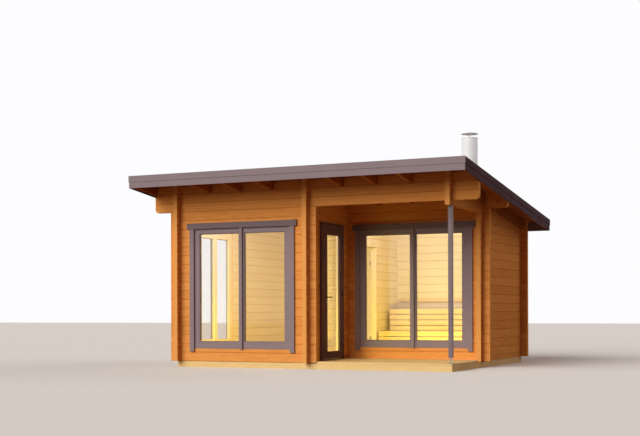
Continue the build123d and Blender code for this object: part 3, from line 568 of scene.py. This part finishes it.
def block(low, high, soften=0.0, segments=2, tilt=0.0):
    """A box between two corners, with softened edges, tilted about X when asked."""
    low = Vector(low)
    high = Vector(high)
    nothing_selected()
    bpy.ops.mesh.primitive_cube_add(size=1, location=(low + high) / 2, scale=high - low)
    piece = bpy.context.object
    if soften:
        bpy.ops.object.transform_apply(location=False, rotation=False, scale=True)
        bpy.ops.object.mode_set(mode="EDIT")
        bpy.ops.mesh.select_all(action="SELECT")
        bpy.ops.mesh.bevel(offset=soften, segments=segments)
        bpy.ops.object.mode_set(mode="OBJECT")
    piece.rotation_euler.x = tilt
    return applied(piece)


def direction(axis, side):
    """A direction along one axis, to its plus side or its minus side."""
    parts = [0, 0, 0]
    parts[axis] = side
    return parts


def aimed(piece, face):
    """Turn a piece that was made looking up, so that it looks along face."""
    piece.rotation_mode = "QUATERNION"
    piece.rotation_quaternion = Vector(face).to_track_quat("Z", "Y")
    return applied(piece)


def copied(piece, offset):
    """A copy of a piece with its own mesh, moved by an offset."""
    twin = piece.copy()
    twin.data = piece.data.copy()
    bpy.context.collection.objects.link(twin)
    twin.location = offset
    return applied(twin)


def joined(parts, name, finish, body):
    """Make one finished piece of several parts, and let it ride on a body."""
    nothing_selected()
    for part in parts:
        part.select_set(True)
    bpy.context.view_layer.objects.active = parts[0]
    if len(parts) > 1:
        bpy.ops.object.join()
    piece = bpy.context.object
    piece.name = name
    piece.data.materials.clear()
    piece.data.materials.append(finish)
    nothing_selected()
    piece.select_set(True)
    bpy.ops.object.shade_smooth_by_angle(angle=math.radians(35))
    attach(piece, body)
    print(name, "faces:", len(piece.data.polygons))
    return piece


# %% [markdown]
# ## Deck boards
# The porch floor is laid with planed boards that have rounded edges and a gap for the water to
# run off. Each board is cut short where a log end stands in its way. One board is modelled for
# each row, because the rows differ in length.

# %% Lay the porch deck
deck_low, deck_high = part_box("terrace_deck")
log_end = 0.105
board_rows = 14
deck_gap = 0.005
fit_gap = 0.004
clearance = 0.003
pitch = (deck_high.y - deck_low.y + deck_gap) / board_rows
deck_boards = []
board_ends = []
for row in range(board_rows):
    near = deck_low.y + row * pitch
    far = near + pitch - deck_gap
    start = deck_low.x
    end = deck_high.x
    if near < front_y + log_thickness + clearance:
        start = middle_x + log_end + fit_gap
    if far > porch_y - log_end - clearance:
        end = right_inner_x - fit_gap
    board_low = (start, near, deck_low.z)
    board_high = (end, far, deck_high.z)
    deck_boards.append(block(board_low, board_high, soften=0.004))
    board_ends.append((start, end, (near + far) / 2))
deck = joined(deck_boards, "deck_boards", deck_wood, "house")
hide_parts("terrace_deck")

# %% [markdown]
# ## Roof boards
# From below the eaves one looks up at tongue-and-groove boards with a small V at each joint. They
# are all equally long, so one board with bevelled edges is modelled on the slope, and an array
# lays the rest next to it.

# %% Lay the roof boards
board_count = 47
sheathing = 0.019
board_joint = 0.0004
board_width = (roof_high.y - roof_low.y) / math.cos(roof_angle) / board_count
across_slope = board_width * math.cos(roof_angle)
down_slope = board_width * math.sin(roof_angle)
middle = Vector((0, roof_low.y + across_slope / 2, 0))
middle.z = roof_high.z - sheathing / 2 / math.cos(roof_angle) - down_slope / 2
half = Vector(((roof_high.x - roof_low.x) / 2, board_width / 2 - board_joint, sheathing / 2))
roof_board = block(middle - half, middle + half, soften=0.003, segments=1, tilt=-roof_angle)
rows = roof_board.modifiers.new("rows", "ARRAY")
rows.count = board_count
rows.use_relative_offset = False
rows.use_constant_offset = True
rows.constant_offset_displace = (0, across_slope, -down_slope)
nothing_selected()
roof_board.select_set(True)
bpy.context.view_layer.objects.active = roof_board
bpy.ops.object.modifier_apply(modifier="rows")
ceiling = joined([roof_board], "roof_boarding", roof_wood, "house")
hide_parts("roof_boards")


# %% [markdown]
# ## Glazing beads
# A pane is held by a slim bead all round on each face, with a thin line of seal at its inner edge.
# Both are rings: a plane is inset, its middle is deleted, and a Solidify modifier gives it
# thickness. Four mitred strips would look the same at this width and take longer. A ring is made
# lying flat and is then turned into the window's plane.

# %% A flat ring
bead_width, bead_proud = 0.01, 0.006
seal_width, seal_proud = 0.0025, 0.0015
seal_overlap = 0.0005


def ring(middle, size, face, width, proud):
    """A flat ring inside this outer size; face is the way that it looks."""
    nothing_selected()
    bpy.ops.mesh.primitive_plane_add(size=1, location=(0, 0, 0))
    piece = bpy.context.object
    piece.scale = (size[0], size[1], 1)
    bpy.ops.object.transform_apply(location=False, rotation=False, scale=True)
    bpy.ops.object.mode_set(mode="EDIT")
    bpy.ops.mesh.select_all(action="SELECT")
    bpy.ops.mesh.inset(thickness=width)
    bpy.ops.mesh.delete(type="FACE")
    bpy.ops.object.mode_set(mode="OBJECT")
    thick = piece.modifiers.new("thick", "SOLIDIFY")
    thick.thickness = proud
    thick.offset = 1
    soft = piece.modifiers.new("soft", "BEVEL")
    soft.width = proud / 4
    soft.segments = 2
    bpy.ops.object.modifier_apply(modifier="thick")
    bpy.ops.object.modifier_apply(modifier="soft")
    piece.location = middle
    return aimed(piece, face)


# %% The solids in a node
def solids_of(node):
    """The corners of each separate solid in a node, found by the points that its faces share."""
    mesh = nodes[node].data
    groups = []
    for polygon in mesh.polygons:
        points = {tuple(round(value, 5) for value in mesh.vertices[v].co) for v in polygon.vertices}
        for group in [group for group in groups if group & points]:
            groups.remove(group)
            points |= group
        groups.append(points)
    corners = []
    for group in groups:
        axes = list(zip(*group))
        corners.append((Vector([min(axis) for axis in axes]), Vector([max(axis) for axis in axes])))
    return corners


# %% Beads and seals for the panes of a node
def glazing(node, name, across, outwards, finish, body):
    """Beads and seals on both faces of each pane in a node, whose outer face looks outwards."""
    rings = {"beads": [], "seals": []}
    for low, high in solids_of(node):
        turned_away = (high - low)[across] > 0.1
        if turned_away:
            continue
        size = [(high - low)[1 - across], (high - low).z]
        inner = [length - 2 * (bead_width - seal_overlap) for length in size]
        for side in (outwards, -outwards):
            middle = (low + high) / 2
            middle[across] = (high if side > 0 else low)[across]
            face = direction(across, side)
            rings["beads"].append(ring(middle, size, face, bead_width, bead_proud))
            rings["seals"].append(ring(middle, inner, face, seal_width, seal_proud))
    joined(rings["beads"], name + "_beads", finish, body)
    joined(rings["seals"], name + "_seals", seal_rubber, body)


# %% Bead every pane
glazing("window_glass", "front_panes", Y, -1, frame_paint, "house")
glazing("window_glass", "left_panes", X, -1, frame_paint, "house")
glazing("door_glass", "door_pane", X, 1, leaf_paint, "front_door")

# %% [markdown]
# ## Screws
# Trims, boards and fittings are held by screws with low round heads. One head is modelled: the top
# of a short cylinder is inset, lifted to a dome and sunk in the middle for the bit. Half of the
# cylinder stays in the wood, so a head can sit on any surface. Copies go wherever a screw belongs.

# %% A screw head and its copies
def pick_faces(piece, wanted):
    """Open edit mode on a piece with only the wanted faces selected."""
    nothing_selected()
    piece.select_set(True)
    bpy.context.view_layer.objects.active = piece
    bpy.ops.object.mode_set(mode="EDIT")
    bpy.ops.mesh.select_mode(type="FACE")
    bpy.ops.mesh.select_all(action="DESELECT")
    bpy.ops.object.mode_set(mode="OBJECT")
    for polygon in piece.data.polygons:
        polygon.select = wanted(polygon)
    bpy.ops.object.mode_set(mode="EDIT")


def round_head(radius, proud, face, sides=8):
    """A low domed head that stands proud of a surface and looks along face."""
    nothing_selected()
    bpy.ops.mesh.primitive_cylinder_add(vertices=sides, radius=radius, depth=2 * proud)
    piece = bpy.context.object
    pick_faces(piece, lambda polygon: polygon.normal.z > 0.9)
    bpy.ops.mesh.inset(thickness=radius * 0.3, depth=proud * 0.35)
    bpy.ops.mesh.inset(thickness=radius * 0.3)
    bpy.ops.mesh.inset(thickness=radius * 0.05, depth=-proud * 0.7)
    bpy.ops.object.mode_set(mode="OBJECT")
    return aimed(piece, face)


def spread(piece, places):
    """Copies of a piece at each place; the piece itself goes to the first."""
    twins = [copied(piece, place) for place in places[1:]]
    piece.location = places[0]
    return [applied(piece)] + twins


def steps(start, end, count):
    """Evenly spaced numbers with both ends included."""
    return [start + (end - start) * n / (count - 1) for n in range(count)]


# %% Screws in the window trims and head boards
board_step = 0.006
trim_middle = 0.078
over_sill, under_head, past_trim = 0.09, 0.06, 0.03
screws_in_row = 6
window_frames = {"front_window_frame": Y, "sauna_window_frame": Y, "left_window_frame": X}
for node, across in window_frames.items():
    low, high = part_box(node)
    along = 1 - across
    rows = [low[along] + trim_middle, (low[along] + high[along]) / 2, high[along] - trim_middle]
    places = []
    for row in rows:
        for z in steps(low.z + over_sill, high.z - head_high - under_head, screws_in_row):
            place = [row, row, z]
            place[across] = low[across] + board_step
            places.append(place)
    for row in steps(rows[0] - past_trim, rows[2] + past_trim, screws_in_row):
        place = [row, row, high.z - head_high / 2]
        place[across] = low[across]
        places.append(place)
    heads = spread(round_head(0.004, 0.0012, direction(across, -1)), places)
    joined(heads, node.replace("frame", "screws"), dark_metal, "house")

# %% Screws in the deck
screw_margin = 0.02
screw_spread = 0.03
places = []
for low, high in solids_of("floor_joists"):
    under_deck = high.y < porch_y + 0.02 and high.y - low.y > 1
    for start, end, y in board_ends:
        x = (low.x + high.x) / 2
        if under_deck and start + screw_margin < x < end - screw_margin:
            places += [(x, y - screw_spread, deck_high.z), (x, y + screw_spread, deck_high.z)]
heads = spread(round_head(0.004, 0.0008, direction(Z, 1)), places)
joined(heads, "deck_screws", fitting_steel, "house")

# %% Screws in the fascias, one for each board at each rafter
fascia_low, fascia_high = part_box("level_fascias")
fascia_height = 0.18
full_rafters = [(low, high) for low, high in solids_of("rafters") if high.y - low.y > 4]
rafter_middles = sorted({round((low.x + high.x) / 2, 4) for low, high in full_rafters})
front_edge = ("front", fascia_low.y, -1, fascia_high.z)
rear_edge = ("rear", fascia_high.y, 1, fascia_low.z + fascia_height)
for name, y, side, rise in (front_edge, rear_edge):
    upper = [(x, y, rise - fascia_height / 4) for x in rafter_middles]
    lower = [(x, y - side * board_step, rise - fascia_height * 3 / 4) for x in rafter_middles]
    heads = spread(round_head(0.004, 0.0004, direction(Y, side)), upper + lower)
    joined(heads, name + "_fascia_screws", dark_metal, "house")

# %% [markdown]
# ## The lock
# The lock is worked by a small round cylinder under each lever. It is the screw head again, larger
# and with more sides. A slim dark block in its sunk middle is painted shade: it stands for the
# shade inside the key's slot, because cut into so small a head, a slot would be lost. All of this
# turns with the door, so it rides on the door's body.

# %% Lock cylinders and plate screws
plate_low, plate_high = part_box("door_handle_plates")
handle_y = (plate_low.y + plate_high.y) / 2
lever_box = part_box("door_handle")
lock_drop = 0.072
lock_z = (lever_box[0].z + lever_box[1].z) / 2 - lock_drop
plate_margin = 0.01
key_half_width, key_half_height, key_proud = 0.0008, 0.0045, 0.0052
for name, x, side in (("outer", plate_high.x, 1), ("inner", plate_low.x, -1)):
    face = direction(X, side)
    barrel = round_head(0.0088, 0.004, face, sides=20)
    barrel.location = (x, handle_y, lock_z)
    joined([applied(barrel)], name + "_lock_barrel", fitting_steel, "front_door")
    x_span = sorted((x, x + side * key_proud))
    slot_low = (x_span[0], handle_y - key_half_width, lock_z - key_half_height)
    slot_high = (x_span[1], handle_y + key_half_width, lock_z + key_half_height)
    # The key's slot is a slim dark block of painted shade, standing for the shade inside the
    # keyway.
    keyhole_shade = block(slot_low, slot_high, soften=0.0002, segments=1)
    joined([keyhole_shade], name + "_keyhole_shade", seal_rubber, "front_door")
    heights = (plate_low.z + plate_margin, plate_high.z - plate_margin)
    places = [(x, handle_y, z) for z in heights]
    screws = spread(round_head(0.0035, 0.001, face), places)
    joined(screws, name + "_plate_screws", dark_metal, "front_door")

# %% [markdown]
# ## Hinge caps and hinge screws
# A hinge has two flaps, each with its half of the knuckle. The lower half is screwed to the frame
# and stays on the house, and the upper half turns with the leaf. A small cap ends each half. One
# loop serves both halves, and reads from each solid's box where its cap and its screws belong.

# %% Hinge caps and hinge screws
knuckle_radius = 0.007
flap_height = 0.034
flap_thickness = 0.003
flap_inset = 0.012
flap_screws = (0.008, 0.026)
for node, body, up in (("door_hinge_pins", "house", -1), ("door_hinge_leaves", "front_door", 1)):
    caps = []
    screws = []
    for low, high in solids_of(node):
        fixed = up < 0
        axis_y = low.y + knuckle_radius if fixed else high.y - knuckle_radius
        caps.append((high.x - knuckle_radius, axis_y, low.z if fixed else high.z))
        flap_y = high.y - flap_inset if fixed else low.y + flap_inset
        flap_z = low.z if fixed else high.z - flap_height
        screws += [(low.x + flap_thickness, flap_y, flap_z + rise) for rise in flap_screws]
    caps = spread(round_head(0.006, 0.0025, direction(Z, up), sides=12), caps)
    joined(caps, node + "_caps", dark_metal, body)
    screws = spread(round_head(0.003, 0.0008, direction(X, 1)), screws)
    joined(screws, node + "_screws", dark_metal, body)

# %% [markdown]
# ## Door seal and threshold strip
# The leaf shuts on a soft seal in the frame, which runs up both sides and across the top. Three
# softened blocks make it, because of so thin a seal only its face shows. A metal strip with
# rounded edges keeps feet off the threshold's paint. Both stay on the house when the door turns.

# %% Door seal and threshold strip
leaf_low, leaf_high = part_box("door_leaf")
seal_back = leaf_low.x - 0.006
seal_front = leaf_low.x - 0.0015
seal_thickness = 0.01
clear_low = leaf_low.y - 0.009
clear_high = leaf_high.y + 0.006
threshold_top = leaf_low.z - 0.006
seal_top = leaf_high.z + 0.002
left_end = clear_low + fit_gap
right_end = clear_high - fit_gap
seal_spans = [
    (left_end, left_end + seal_thickness, threshold_top),
    (right_end - seal_thickness, right_end, threshold_top),
    (left_end + seal_thickness, right_end - seal_thickness, seal_top - seal_thickness),
]
seal_parts = [
    block((seal_back, near, base), (seal_front, far, seal_top), soften=0.0015)
    for near, far, base in seal_spans
]
joined(seal_parts, "door_seal", seal_rubber, "house")
strip_low = (leaf_low.x, clear_low, threshold_top - 0.001)
strip_high = (leaf_high.x, clear_high, threshold_top + 0.0015)
strip = block(strip_low, strip_high, soften=0.0008)
joined([strip], "threshold_strip", fitting_steel, "house")

# %% [markdown]
# ## Roof edges and felt
# The felt comes in rolls a metre wide. Each roll laps over the next one down the slope, which
# shows as a low step. A folded metal strip covers the top edge of the fascias all round. Laps and
# strips are slim blocks that lie at the roof's angle and dip a little into what is under them, so
# no gap shows.

# %% Felt laps
cover_low, cover_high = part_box("roof_covering")
side_low, side_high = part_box("side_fascias")
slope = math.tan(roof_angle)
lap_half = 0.05
lap_low, lap_high = -0.002, 0.003
first_lap, last_lap, lap_count = 0.9, 0.75, 4
cover_middle_y = (cover_low.y + cover_high.y) / 2
cover_middle_z = cover_high.z - (cover_high.y - cover_low.y) / 2 * slope


def on_roof(y):
    """Height of the felt's surface at a depth."""
    return cover_middle_z - (y - cover_middle_y) * slope


laps = []
for y in steps(cover_low.y + first_lap, cover_high.y - last_lap, lap_count):
    z = on_roof(y)
    lap_start = (cover_low.x, y - lap_half, z + lap_low)
    lap_end = (cover_high.x, y + lap_half, z + lap_high)
    laps.append(block(lap_start, lap_end, soften=0.0015, segments=1, tilt=-roof_angle))
joined(laps, "felt_laps", roof_felt, "house")

# %% Metal strips along the fascias
strip_width = 0.024
strip_half = 0.0015
strip_under, strip_over = 0.001, 0.002
edges = []
half_run = (side_high.y - side_low.y) / math.cos(roof_angle) / 2
top_z = fascia_high.z + fascia_low.y * slope
for side in (-1, 1):
    near, far = sorted((side * fascia_high.x, side * (fascia_high.x - strip_width)))
    edge_low = (near, -half_run, top_z - strip_half)
    edge_high = (far, half_run, top_z + strip_half)
    edges.append(block(edge_low, edge_high, soften=0.0006, segments=1, tilt=-roof_angle))
rear_top_z = fascia_high.z - 2 * fascia_high.y * slope
for y, inward, z in ((fascia_low.y, 1, fascia_high.z), (fascia_high.y, -1, rear_top_z)):
    near, far = sorted((y, y + inward * strip_width))
    edge_low = (fascia_low.x, near, z - strip_under)
    edge_high = (fascia_high.x, far, z + strip_over)
    edges.append(block(edge_low, edge_high, soften=0.0006))
joined(edges, "roof_edge_strips", dark_metal, "house")

# %% [markdown]
# ## The post's foot
# The post stands on a steel plate that four hexagon bolts hold to the deck. A bolt's head is the
# same round head with six sides.

# %% Bolts in the post's foot
foot_low, foot_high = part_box("post_foot")
plate_top = floor_top + 0.006
bolt_inset = 0.01
bolt_x = (foot_low.x + bolt_inset, foot_high.x - bolt_inset)
bolt_y = (foot_low.y + bolt_inset, foot_high.y - bolt_inset)
places = [(x, y, plate_top) for x in bolt_x for y in bolt_y]
bolts = spread(round_head(0.006, 0.003, direction(Z, 1), sides=6), places)
joined(bolts, "foot_bolts", fitting_steel, "house")

# %% [markdown]
# ## Scenery
# The part stands on a pale floor with nothing else near it. A soft sun from the front left gives
# the fronts their light and leaves the porch in shade, and a weak warm one from the right rear
# keeps the far sides from going black. Each room has two lamps behind its window, turned away
# from it: a pale one high up and a yellow one low down. The floor and the sky look pale to the
# camera, to metal and to glass, but throw only a dim warm light on the object.

# %% What a ray sees of the surroundings
def seen_directly(tree):
    """1 for the camera and for what glass and metal show it, and 0 for light that was scattered."""
    path = add_node(tree, "LightPath")
    wires = {output.name: Wire(tree, output) for output in path.outputs}
    mirrored = wires["Is Glossy Ray"].larger(wires["Is Transmission Ray"])
    return wires["Is Camera Ray"].larger(mirrored * (wires["Diffuse Depth"] < 0.5))


# %% Floor and sky
nothing_selected()
bpy.ops.mesh.primitive_plane_add(size=120, location=(0, 0, 0))
ground = bpy.context.object
ground.name = "ground"
floor_finish = Finish("pale_floor", Roughness=0.9)
floor_seen = seen_directly(floor_finish.tree)
dim_floor = (0.22, 0.16, 0.12, 1)
pale_floor = (0.86, 0.86, 0.86, 1)
floor_finish.set("Base Color", floor_finish.mix(floor_seen, dim_floor, pale_floor))
ground.data.materials.append(floor_finish.material)

sky = bpy.data.worlds.new("sky")
bpy.context.scene.world = sky
sky.use_nodes = True
sky_tree = sky.node_tree
background = sky_tree.nodes["Background"]
dim_sky = (0.14, 0.09, 0.075, 1)
white_sky = (0.98, 0.98, 1.0, 1)
sky_colour = mixed_colour(sky_tree, seen_directly(sky_tree), dim_sky, white_sky)
join(sky_tree, background.inputs["Color"], sky_colour)
print("surroundings:", ground.name, sky.name)


# %% Lamps
def lamp(name, kind, power, tint, place, aim):
    """A lamp that looks from its place at an aim, and that no camera or mirror sees."""
    light = bpy.data.lights.new(name, kind)
    light.energy = power
    light.color = tint
    holder = bpy.data.objects.new(name, light)
    bpy.context.collection.objects.link(holder)
    holder.location = place
    holder.rotation_mode = "QUATERNION"
    holder.rotation_quaternion = (Vector(aim) - Vector(place)).to_track_quat("-Z", "Y")
    holder.visible_camera = False
    holder.visible_glossy = False
    return light


sun_side = math.radians(22)
sun_height = math.radians(29)
level = math.cos(sun_height)
sun_from = (-math.sin(sun_side) * level, -math.cos(sun_side) * level, math.sin(sun_height))
centre = (0, 0, 0)
sun = lamp("sun", "SUN", 3.3, (1.0, 0.96, 0.89), Vector(sun_from) * 20, centre)
sun.angle = math.radians(54)
fill = lamp("fill", "SUN", 0.78, (1.0, 0.88, 0.8), (14, 14, 8), centre)
fill.angle = math.radians(40)


def room_lamps(room, x, front, width, upper, lower):
    """A pale lamp high behind a window and a yellow one low behind it, turned to the room."""
    y = front + 0.12
    strips = (
        ("_lamp", upper, (0.95, 0.98, 0.98), 2.28, 2.1, 0.2),
        ("_glow", lower, (1.0, 0.92, 0.03), 0.5, 0.1, 0.1),
    )
    for kind, power, tint, z, aim_z, height in strips:
        strip = lamp(room + kind, "AREA", power, tint, (x, y, z), (x, y + 3, aim_z))
        strip.shape = "RECTANGLE"
        strip.size = width
        strip.size_y = height


room_lamps("lounge", x=-1.08, front=front_y, width=1.2, upper=20, lower=24)
room_lamps("hot_room", x=1.1, front=porch_y, width=1.4, upper=15, lower=14)
print("lamps:", len(bpy.data.lights))

# %% [markdown]
# ## The camera
# It stands low in front of the porch's side and looks level, so that upright edges stay upright.
# The lens is shifted up instead of being tilted.

# %% The camera
camera_data = bpy.data.cameras.new("camera")
camera_data.lens = 66.1
camera_data.shift_y = 0.146
camera_data.clip_end = 200
camera = bpy.data.objects.new("camera", camera_data)
bpy.context.collection.objects.link(camera)
camera.location = (7.314, -16.927, 0.835)
camera.rotation_euler = (math.radians(90), math.radians(0.17), math.radians(24.86))
bpy.context.scene.camera = camera
bpy.context.scene.view_settings.view_transform = "Standard"
print("camera height:", round(camera.location.z, 3))
